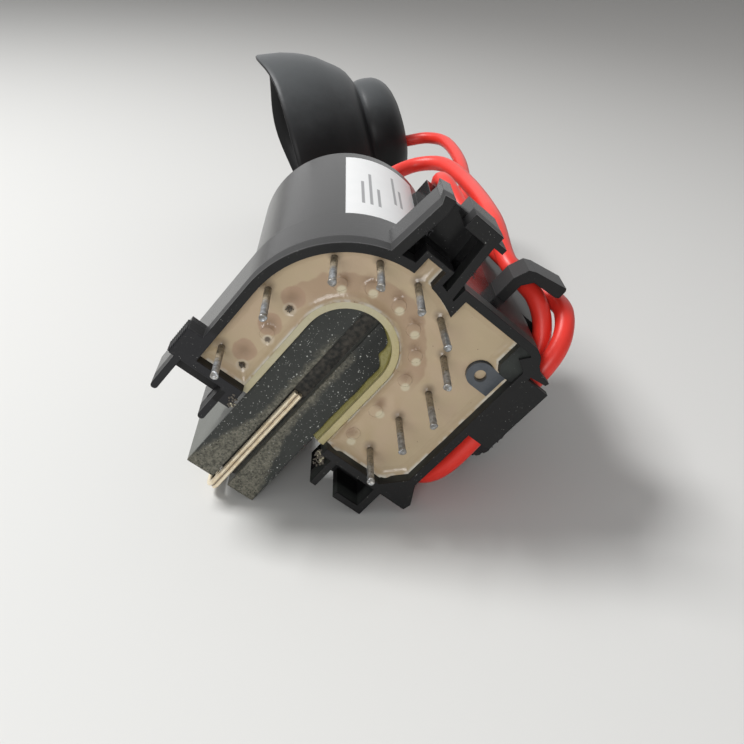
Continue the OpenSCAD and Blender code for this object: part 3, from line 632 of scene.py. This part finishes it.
# Pieces drawn in the part's own millimetres


def place_piece(name, mesh, finish, *replaced):
    """Moves a mesh from the part's own frame into the row frame and makes it a piece of the part."""
    mesh.name = name
    mesh.transform(TO_ROW)
    if not mesh.materials:
        mesh.materials.append(finish.material)
    piece = bpy.data.objects.new(name, mesh)
    bpy.context.scene.collection.objects.link(piece)
    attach(piece, "body")
    if replaced:
        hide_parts(*replaced)
    return piece


def to_mesh(bm, smooth=True):
    mesh = bpy.data.meshes.new("piece")
    for face in bm.faces:
        face.smooth = smooth
    bm.to_mesh(mesh)
    bm.free()
    return mesh


def lathe(profile, sides, shift=lambda r, z, turn: (r, z)):
    """A closed form of rings about z. The profile runs from a point on the axis to another one."""
    bm = bmesh.new()
    rings = []
    for r, z in profile[1:-1]:
        ring = []
        for k in range(sides):
            turn = 2 * math.pi * k / sides
            far, high = shift(r, z, turn)
            ring.append(bm.verts.new((far * math.cos(turn), far * math.sin(turn), high)))
        rings.append(ring)
    for low, high in zip(rings, rings[1:]):
        for k in range(sides):
            m = (k + 1) % sides
            bm.faces.new((low[k], low[m], high[m], high[k]))
    for ring, (_, z) in ((rings[0], profile[0]), (rings[-1], profile[-1])):
        tip = bm.verts.new((0, 0, z))
        for k in range(sides):
            bm.faces.new((ring[k], ring[(k + 1) % sides], tip))
    bmesh.ops.recalc_face_normals(bm, faces=bm.faces)
    return bm


class Growth(Graph):
    """A Geometry Nodes tree that grows a piece on a guide mesh."""

    def __init__(self, name, **sizes):
        super().__init__(bpy.data.node_groups.new(name, "GeometryNodeTree"))
        self.sizes = sizes
        face = self.tree.interface
        face.new_socket("Guide", in_out="INPUT", socket_type="NodeSocketGeometry")
        face.new_socket("Piece", in_out="OUTPUT", socket_type="NodeSocketGeometry")
        for size, value in sizes.items():
            kind = "NodeSocketInt" if isinstance(value, int) else "NodeSocketFloat"
            face.new_socket(size, in_out="INPUT", socket_type=kind)
        self.inputs = self.tree.nodes.new("NodeGroupInput")
        self.guide = self.size("Guide")

    def size(self, name):
        return Tone(self, self.inputs.outputs[name])

    def form(self, mesh):
        """A form that the tree repeats, from a mesh."""
        shape = bpy.data.objects.new(mesh.name, mesh)
        return self.node("GeometryNodeObjectInfo", {"transform_space": "ORIGINAL"}, {"Object": shape}, "Geometry")

    def chance(self, low, high, seed):
        """A vector drawn at random for each point."""
        return self.node("FunctionNodeRandomValue", {"data_type": "FLOAT_VECTOR"}, {0: low, 1: high, "Seed": seed})

    def grow(self, guide, grown, finish):
        """Ends the tree, runs it on the guide and returns the plain mesh that it makes."""
        real = self.node("GeometryNodeRealizeInstances", None, {"Geometry": grown})
        soft = self.node("GeometryNodeSetShadeSmooth", None, {"Geometry": real})
        dressed = self.node("GeometryNodeSetMaterial", None, {"Geometry": soft, "Material": finish.material})
        end = self.tree.nodes.new("NodeGroupOutput")
        self.tree.links.new(dressed.socket, end.inputs["Piece"])
        holder = bpy.data.objects.new(self.tree.name, guide)
        bpy.context.scene.collection.objects.link(holder)
        modifier = holder.modifiers.new(self.tree.name, "NODES")
        modifier.node_group = self.tree
        for item in self.tree.interface.items_tree:
            if item.in_out == "INPUT" and item.name in self.sizes:
                modifier[item.identifier] = self.sizes[item.name]
        ready = holder.evaluated_get(bpy.context.evaluated_depsgraph_get())
        mesh = bpy.data.meshes.new_from_object(ready)
        holder.modifiers.remove(modifier)
        bpy.data.objects.remove(holder)
        return mesh


def guide_mesh(spots, edges=(), faces=()):
    mesh = bpy.data.meshes.new("guide")
    mesh.from_pydata([tuple(s) for s in spots], edges, faces)
    return mesh


# Resin: the potting with its surface drawn up at the walls and pins and sunk over the posts

RESIN_CELL = 0.5
WALL_PEAKS = [(11.3, 17.2), (10.3, 17.6), (23.4, 16.2), (26.3, 14.0)]
PEAK_RISE, PEAK_REACH = 2.0, 1.3
WALL_RISE, WALL_REACH = 1.0, 0.75
# Height and width of the rise round a pin and of each kind of hollow, in millimetres
PIN_RISE = (0.55, 1.15)
DIMPLE_SINK = (-0.3, 1.2)
PATCH_SINK = (-0.4, 1.5)
HOLE_SINK = (-0.9, 0.6)


def merged_copy(name):
    """A copy of a CAD node as one connected mesh, in the part's own frame."""
    bm = bmesh.new()
    bm.from_mesh(nodes[name].data)
    bmesh.ops.remove_doubles(bm, verts=bm.verts, dist=1e-6)
    bm.transform(TO_PART)
    bm.normal_update()
    return bm


def is_surface(face):
    return face.normal.z < -0.9 and all(abs(v.co.z - POT_Z) < 0.01 for v in face.verts)


def crosses(face, axis, cut):
    reach = [v.co.dot(axis) for v in face.verts]
    return min(reach) < cut < max(reach)


def bump_at(spot, middle, height, width):
    return height * math.exp(-((spot - middle).length_squared) / width**2)


def resin_height(spot, wall_gap):
    """How far the resin stands above its level, in millimetres."""
    height = WALL_RISE * math.exp(-wall_gap / WALL_REACH) + 0.1 * noise.noise((spot.x / 4, spot.y / 4, 0))
    for pin in PINS:
        height += bump_at(spot, pin.xy, *PIN_RISE)
    for shaded_dimple in SHADED_DIMPLES:
        height += bump_at(spot, Vector(shaded_dimple), *DIMPLE_SINK)
    for patch in PATCHES:
        height += bump_at(spot, Vector(patch), *PATCH_SINK)
    for peak in WALL_PEAKS:
        share = max(0, 1 - (spot - Vector(peak)).length / PEAK_REACH)
        height += PEAK_RISE * math.exp(-wall_gap / 0.5) * share
    for hole in HOLES:
        height += bump_at(spot, hole, *HOLE_SINK)
    for post in POSTS + PITS[1:2]:
        flush = max(0, min(1, 1 - ((spot - post).length - POST_R) / 0.6))
        height += flush * (POT_Z - POST_TOP - height)
    return height


def resin_surface():
    bm = merged_copy("potting")
    shade = bm.verts.layers.float.new("gap")
    low, high = part_box("potting")
    for axis in (Vector((1, 0, 0)), Vector((0, 1, 0))):
        start, end = low.dot(axis), high.dot(axis)
        for k in range(1, int((end - start) / RESIN_CELL)):
            cut = start + k * RESIN_CELL
            near = [f for f in bm.faces if is_surface(f) and crosses(f, axis, cut)]
            geom = list({e for f in near for e in f.edges} | {v for f in near for v in f.verts}) + near
            bmesh.ops.bisect_plane(bm, geom=geom, plane_co=axis * cut, plane_no=axis, dist=1e-4)
    surface = {f for f in bm.faces if is_surface(f)}
    spots = {v for f in surface for v in f.verts}
    edge = {v for f in surface for e in f.edges if len(set(e.link_faces) & surface) == 1 for v in e.verts}
    stems = [pin.xy for pin in PINS] + POSTS + PITS
    walls = [v.co for v in edge if min((v.co.xy - s).length for s in stems) > POST_R + 0.2]
    tree = kdtree.KDTree(len(walls))
    for i, spot in enumerate(walls):
        tree.insert(spot, i)
    tree.balance()
    for v in spots:
        gap = tree.find(v.co)[2]
        v[shade] = gap
        v.co.z -= resin_height(v.co.xy, gap)
    for face in bm.faces:
        face.smooth = face in surface
    mesh = bpy.data.meshes.new("resin")
    bm.to_mesh(mesh)
    bm.free()
    place_piece("resin", mesh, RESIN, "potting")


resin_surface()

# Terminal pins

PIN_LOW, PIN_HIGH = part_box("terminal_pins")
PIN_R = 0.625
ROOT_R = 0.425
PIN_SIDES = 14


def pin_form():
    """One terminal with z = 0 at the resin: a plain root, a rough shaft and a crushed, flared tip."""
    tip = PIN_LOW.z - POT_Z
    root = PIN_HIGH.z - POT_Z
    profile = [(0, root), (ROOT_R, root), (ROOT_R, 0.1), (PIN_R, 0)]
    shaft = 16
    for k in range(1, shaft):
        z = (tip + 0.9) * k / shaft
        profile.append((PIN_R * (1 + 0.07 * noise.noise((0, 0, z * 1.9))), z))
    profile += [(PIN_R * 0.94, tip + 0.8), (PIN_R, tip + 0.5), (PIN_R * 1.12, tip + 0.34), (PIN_R * 1.14, tip + 0.18)]
    profile += [(PIN_R * 1.02, tip + 0.05), (PIN_R * 0.7, tip + 0.04), (PIN_R * 0.5, tip + 0.16), (0, tip + 0.2)]

    def crushed(r, z, turn):
        if z > tip + 0.8:
            return r, z
        return r * (1 + 0.16 * math.cos(turn) + 0.08 * math.cos(3 * turn + 1)), z + 0.14 * (1 + math.cos(turn + 0.6))

    return to_mesh(lathe(profile, PIN_SIDES, crushed))


def terminals():
    growth = Growth("terminals", lean=0.035, seed=3)
    lean = growth.size("lean")
    turn = growth.chance(growth.vector(-lean, -lean, -math.pi), growth.vector(lean, lean, math.pi), growth.size("seed"))
    grown = growth.node(
        "GeometryNodeInstanceOnPoints", None,
        {"Points": growth.guide, "Instance": growth.form(pin_form()), "Rotation": turn},
    )
    guide = guide_mesh([(pin.x, pin.y, POT_Z) for pin in PINS])
    place_piece("terminals", growth.grow(guide, grown, TINNED), TINNED, "terminal_pins")


terminals()

# Spring strip: a flat loop whose two edges are folded into lips

CLIP_T = 1.2
CLIP_BEND = 2.6
CLIP_LIP = 0.43


def clip_line():
    """Middle line of the clip's loop, as (y, z) of the part's own frame."""
    low, high = part_box("core_clip")
    half = CLIP_T / 2
    bend = CLIP_BEND - half
    inner, outer = low.y, high.y - half
    front, back = low.z + half, high.z - half
    line = [(inner + (outer - bend - inner) * k / 8, front) for k in range(8)]
    for middle, start in ((front + bend, -90), (back - bend, 0)):
        for k in range(9):
            turn = math.radians(start + 90 * k / 8)
            line.append((outer - bend + bend * math.cos(turn), middle + bend * math.sin(turn)))
    return line + [(inner + (outer - bend - inner) * k / 8, back) for k in reversed(range(8))]


def spring_strip():
    low, high = part_box("core_clip")
    apart = (high.x - low.x) / 2 - CLIP_LIP
    growth = Growth("spring_strip", lip=CLIP_LIP, apart=apart, thick=CLIP_T / 2, sides=14)
    sockets = {"Resolution": growth.size("sides"), "Radius": 1.0}
    ring = growth.node("GeometryNodeCurvePrimitiveCircle", {"mode": "RADIUS"}, sockets)
    oval = growth.vector(growth.size("thick"), growth.size("lip"), 1.0)
    lips = []
    for side in (-1.0, 1.0):
        shift = growth.vector(0.0, growth.size("apart") * side, 0.0)
        lips.append(growth.node("GeometryNodeTransform", None, {"Geometry": ring, "Translation": shift, "Scale": oval}))
    web = growth.vector(growth.size("thick") * 0.55, growth.size("apart") * 1.2, 1.0)
    lips.append(growth.node("GeometryNodeTransform", None, {"Geometry": ring, "Scale": web}))
    profile = growth.node("GeometryNodeJoinGeometry", None, {"Geometry": lips})
    curve = growth.node("GeometryNodeMeshToCurve", None, {"Mesh": growth.guide})
    curve = growth.node("GeometryNodeSetCurveNormal", {"mode": "Z_UP"}, {"Curve": curve})
    grown = growth.node("GeometryNodeCurveToMesh", None, {"Curve": curve, "Profile Curve": profile, "Fill Caps": True})
    line = clip_line()
    guide = guide_mesh([(y, z, 0) for y, z in line], [(k, k + 1) for k in range(len(line) - 1)])
    mesh = growth.grow(guide, grown, SPRING)
    mesh.transform(Matrix(((0, 0, 1, 0), (1, 0, 0, 0), (0, 1, 0, 0), (0, 0, 0, 1))))
    place_piece("spring_strip", mesh, SPRING, "core_clip")


spring_strip()

# Glue between the yoke and the bobbin's wall

GLUE_STEPS = 90


def slot_spot(way, offset):
    """A point at an offset from the slot's middle line: way runs from -1, at the left end, to 1, at the right one."""
    arc = math.pi * U_INNER / 2
    run = abs(way) * (arc + SLOT_END)
    side = math.copysign(1, way)
    if run < arc:
        turn = run / U_INNER
        return Vector((side * offset * math.sin(turn), -offset * math.cos(turn)))
    return Vector((side * offset, run - arc))


def glue_width(way):
    """How far the glue runs over the yoke's face, in millimetres."""
    width = 0.5 + 0.25 * noise.noise((way * 9, 2, 0)) + 0.12 * noise.noise((way * 37, 5, 0))
    width += 0.35 * max(0, way)
    return max(0.12, width + 1.5 * math.exp(-(((way - 0.3) / 0.06) ** 2)))


def core_glue():
    bm = bmesh.new()
    rows = []
    for k in range(GLUE_STEPS + 1):
        way = -1 + 2 * k / GLUE_STEPS
        width = glue_width(way)
        cross = [
            (0.02, -0.95), (0.35 * width, -0.62), (0.75 * width, -0.28),
            (width, 0.02), (0.5 * width, 0.1), (0.02, 0.5),
        ]
        rows.append([bm.verts.new((*slot_spot(way, U_INNER - inward), YOKE_Z + z)) for inward, z in cross])
    for low, high in zip(rows, rows[1:]):
        for i in range(len(low)):
            j = (i + 1) % len(low)
            bm.faces.new((low[i], low[j], high[j], high[i]))
    bm.faces.new(rows[0])
    bm.faces.new(rows[-1])
    bmesh.ops.recalc_face_normals(bm, faces=bm.faces)
    place_piece("core_glue", to_mesh(bm), GLUE)


core_glue()

# Scraps of broken plastic, pale glue and dirt


def chip_form():
    bm = bmesh.new()
    bmesh.ops.create_icosphere(bm, subdivisions=1, radius=1)
    for v in bm.verts:
        v.co *= 1 + 0.35 * noise.noise(v.co * 1.7)
        v.co.z *= 0.6
    return to_mesh(bm, smooth=False)


def scraps(name, places, spread, z, finish, density, size, seed):
    """Chips strewn at random over small discs at the given places."""
    growth = Growth(name, density=density, smallest=size * 0.4, largest=size, seed=seed)
    points = growth.node(
        "GeometryNodeDistributePointsOnFaces", None,
        {"Mesh": growth.guide, "Density": growth.size("density"), "Seed": growth.size("seed")}, "Points",
    )
    low, high = (growth.vector(*[growth.size(s)] * 3) for s in ("smallest", "largest"))
    full = math.pi
    grown = growth.node("GeometryNodeInstanceOnPoints", None, {
        "Points": points, "Instance": growth.form(chip_form()),
        "Rotation": growth.chance((-full, -full, -full), (full, full, full), growth.size("seed")),
        "Scale": growth.chance(low, high, growth.size("seed")),
    })
    sides = 10
    spots, faces = [], []
    for place in places:
        faces.append(range(len(spots), len(spots) + sides))
        for k in range(sides):
            turn = 2 * math.pi * k / sides
            spots.append((place.x + spread * math.cos(turn), place.y + spread * math.sin(turn), z))
    place_piece(name, growth.grow(guide_mesh(spots, faces=faces), grown, finish), finish)


scraps("pit_dirt", HOLES, 0.7, POT_Z + 0.1, SCRAPS, 10.0, 0.24, 5)
scraps("wall_crumbs", [Vector((10.4, 20.4)), Vector((9.6, 18.9))], 1.0, 1.5, SCRAPS, 6.0, 0.42, 8)
scraps("wall_goo", [Vector((9.6, 19.2)), Vector((10.8, 20.0))], 0.7, 1.9, GOO, 6.0, 0.55, 4)
scraps("broken_corner", [Vector((-10.0, 18.7)), Vector((-9.6, 19.6))], 0.8, 0.1, SCRAPS, 6.0, 0.42, 9)
scraps("corner_goo", [Vector((-9.3, 19.9))], 0.6, 0.15, GOO, 4.0, 0.4, 2)
scraps("gate_marks", [Vector((-4.3, -25.7)), Vector((6.0, -24.7))], 0.7, 0.05, TRIM, 9.0, 0.24, 6)

# Left bracket: ridges on its tab and the back of its groove

RIDGES = 11
TAB_LEFT = -23.5
TAB_LOW, TAB_HIGH = 12.7, 17.9
TAB_MIDDLE = 1.8
RIDGE_SIZE = (0.9, 0.26, 3.4)


def ridge_form():
    bm = bmesh.new()
    bmesh.ops.create_cube(bm, size=1)
    bmesh.ops.scale(bm, verts=bm.verts, vec=RIDGE_SIZE)
    bmesh.ops.bevel(bm, geom=bm.edges[:], offset=0.1, segments=2, affect="EDGES")
    return to_mesh(bm)


def tab_ridges():
    growth = Growth("tab_ridges", pitch=(TAB_HIGH - TAB_LOW) / (RIDGES - 1), count=RIDGES)
    row = growth.node(
        "GeometryNodeMeshLine", {"mode": "OFFSET", "count_mode": "TOTAL"},
        {
            "Count": growth.size("count"), "Start Location": (TAB_LEFT, TAB_LOW, TAB_MIDDLE),
            "Offset": growth.vector(0.0, growth.size("pitch"), 0.0),
        },
    )
    grown = growth.node("GeometryNodeInstanceOnPoints", None, {"Points": row, "Instance": growth.form(ridge_form())})
    place_piece("tab_ridges", growth.grow(guide_mesh([(0, 0, 0)]), grown, CASE), CASE)


tab_ridges()


GROOVE_BLOCKS = [((-21.3, 18.3, 3.0), (-10.9, 21.1, 4.4)), ((-12.9, 21.0, 3.02), (-10.9, 23.0, 4.38))]


def groove_back():
    """Dark back of the groove between the left bracket's fins."""
    bm = bmesh.new()
    for block in GROOVE_BLOCKS:
        low, high = (Vector(corner) for corner in block)
        place = Matrix.Translation((low + high) / 2) @ Matrix.Diagonal((*(high - low), 1))
        bmesh.ops.create_cube(bm, size=1, matrix=place)
    place_piece("groove_back", to_mesh(bm, smooth=False), CASE)


groove_back()

# Cap: a thin bell with a bent lip, and its boot

CAP_TILT = math.radians(13)
CAP_TURN = math.radians(8)
CAP_LEN = 36
CAP_R = 30.9
BOOT_R = 17.2
BELL_LEN = 24
CAP_FLOOR = BELL_LEN - 1
LEAD_DROP = 5
CAP_SIDES = 120
LIP_CORNER = 3.5
LIP_FAR = 3.2


def cap():
    profile = [
        (0, CAP_FLOOR), (6, CAP_FLOOR), (BOOT_R - 1.5, CAP_FLOOR - 1), (BOOT_R + 3.8, BELL_LEN * 0.79),
        (CAP_R - 7.2, BELL_LEN * 0.66), (CAP_R - 4.5, BELL_LEN * 0.485), (CAP_R - 2.8, BELL_LEN * 0.325),
        (CAP_R - 1.9, BELL_LEN * 0.19), (CAP_R - 1.35, BELL_LEN * 0.08), (CAP_R - 1.1, 0.1), (CAP_R - 0.8, -0.05),
        (CAP_R - 0.3, -0.05), (CAP_R - 0.02, 0.2), (CAP_R - 0.1, BELL_LEN * 0.06), (CAP_R - 0.45, BELL_LEN * 0.2),
        (CAP_R - 1.3, BELL_LEN * 0.335), (CAP_R - 2.1, BELL_LEN * 0.425), (CAP_R - 3, BELL_LEN * 0.51),
        (CAP_R - 4.1, BELL_LEN * 0.6), (CAP_R - 5.5, BELL_LEN * 0.68), (BOOT_R + 7, BELL_LEN * 0.75),
        (BOOT_R + 5.9, BELL_LEN * 0.815), (BOOT_R + 4.7, BELL_LEN * 0.875), (BOOT_R + 3.2, BELL_LEN * 0.93),
        (BOOT_R + 1.2, BELL_LEN * 0.975), (BOOT_R - 0.1, BELL_LEN), (BOOT_R - 0.35, BELL_LEN + 0.5),
        (BOOT_R - 0.1, BELL_LEN + 1.2), (BOOT_R, BELL_LEN + 2.2),
        (BOOT_R - 0.05, BELL_LEN + 4), (BOOT_R - 0.35, CAP_LEN - 6),
        (BOOT_R - 0.9, CAP_LEN - 4.7), (BOOT_R - 1.8, CAP_LEN - 3.4), (BOOT_R * 0.81, CAP_LEN - 2.1),
        (BOOT_R * 0.7, CAP_LEN - 1.1), (BOOT_R * 0.57, CAP_LEN - 0.4), (BOOT_R * 0.45, CAP_LEN - 0.05), (0, CAP_LEN),
    ]

    def bent(r, z, turn):
        """The lip's top corner is pulled out, and its far side stands out further than the near one."""
        lip = max(0, 1 - z / 10) ** 2
        side = (turn + math.pi) % (2 * math.pi) - math.pi
        corner = math.exp(-((side / 0.4) ** 2))
        far = math.exp(-(((side + 1.5) / 0.55) ** 2))
        return r + 0.8 * lip * corner, z - lip * (LIP_CORNER * corner + LIP_FAR * far)

    bm = lathe(profile, CAP_SIDES, bent)
    flat = math.cos(CAP_TILT)
    along = Vector((flat * math.cos(CAP_TURN), flat * math.sin(CAP_TURN), math.sin(CAP_TILT)))
    aside = along.cross(Vector((0, 0, 1))).normalized()
    high = aside.cross(along)
    turn = Matrix((high, aside, along)).transposed().to_4x4()
    mouth = Vector(LEAD_ROUTE[-1]) + high * LEAD_DROP - along * CAP_LEN
    bm.transform(TO_PART @ Matrix.Scale(MM, 4) @ Matrix.Translation(mouth) @ turn)
    bmesh.ops.recalc_face_normals(bm, faces=bm.faces)
    return place_piece("cap", to_mesh(bm), RUBBER, "anode_cap")


lead([cap(), nodes["anode_clip"]])

# Floor, light and backdrop

# Floor colours near the lamp and far from it: painted light falloff.
FLOOR_LIT = (0.69, 0.69, 0.675)
FLOOR_SHADED = (0.42, 0.412, 0.4)
FLOOR_HALF = 3.0
FLOOR_FALLOFF_WAY = (0.85, 0.6, 0)
SKY_WAY = (-0.3, 0.45, 0.84)
SKY_LOW = 0.2
SKY_HIGH = 0.35
SKY_GLOSS = 0.6
KEY = {"place": (-0.4, 0.14, 0.66), "aim": (0, 0.02, 0.03), "size": 0.22, "power": 5.6}
FILL = {"place": (-0.15, -0.7, 0.24), "aim": (0, 0, 0.03), "size": 0.3, "power": 2.1}


def floor():
    data = bpy.data.meshes.new("floor")
    half = FLOOR_HALF
    data.from_pydata([(-half, -half, 0), (half, -half, 0), (half, half, 0), (-half, half, 0)], [], [(0, 1, 2, 3)])
    piece = bpy.data.objects.new("floor", data)
    bpy.context.scene.collection.objects.link(piece)
    finish = Finish("floor_card", Roughness=0.8, Specular_IOR_Level=0.2)
    # Painted light falloff: the floor is painted darker away from the lamp, towards the far right.
    way = finish.node("ShaderNodeTexCoord", out="Object")
    falloff = finish.node("ShaderNodeVectorMath", {"operation": "DOT_PRODUCT"}, {0: way, 1: FLOOR_FALLOFF_WAY}, "Value")
    finish.use(Base_Color=finish.mix(falloff.step(-0.2, 0.65), FLOOR_LIT, FLOOR_SHADED))
    data.materials.append(finish.material)
    piece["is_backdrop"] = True


def lamp(name, place, aim, size, power):
    data = bpy.data.lights.new(name, "AREA")
    data.size = size
    data.energy = power
    piece = bpy.data.objects.new(name, data)
    bpy.context.scene.collection.objects.link(piece)
    piece.location = place
    piece.rotation_euler = (Vector(aim) - Vector(place)).to_track_quat("-Z", "Y").to_euler()


def light():
    """A studio with a soft lamp behind on the left, a low one in front and a sky that is brighter at the back."""
    world = bpy.data.worlds.new("studio")
    bpy.context.scene.world = world
    world.use_nodes = True
    sky = Graph(world.node_tree)
    way = sky.node("ShaderNodeTexCoord", out="Generated")
    lean = sky.node("ShaderNodeVectorMath", {"operation": "DOT_PRODUCT"}, {0: way, 1: SKY_WAY}, "Value")
    glossy = sky.node("ShaderNodeLightPath", out="Is Glossy Ray")
    back = glossy * SKY_GLOSS + SKY_HIGH
    level = lean.step(-0.5, 0.6) * (back - SKY_LOW) + SKY_LOW
    background = world.node_tree.nodes["Background"]
    background.inputs["Color"].default_value = (1, 1, 1, 1)
    sky.tree.links.new(level.socket, background.inputs["Strength"])
    lamp("key", **KEY)
    lamp("fill", **FILL)
    bpy.context.scene.view_settings.view_transform = "Standard"


floor()
light()

plain_list = lambda box: [list(corner) for corner in box]
{"cad": plain_list(CAD_BOX), "visual": plain_list(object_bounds())}
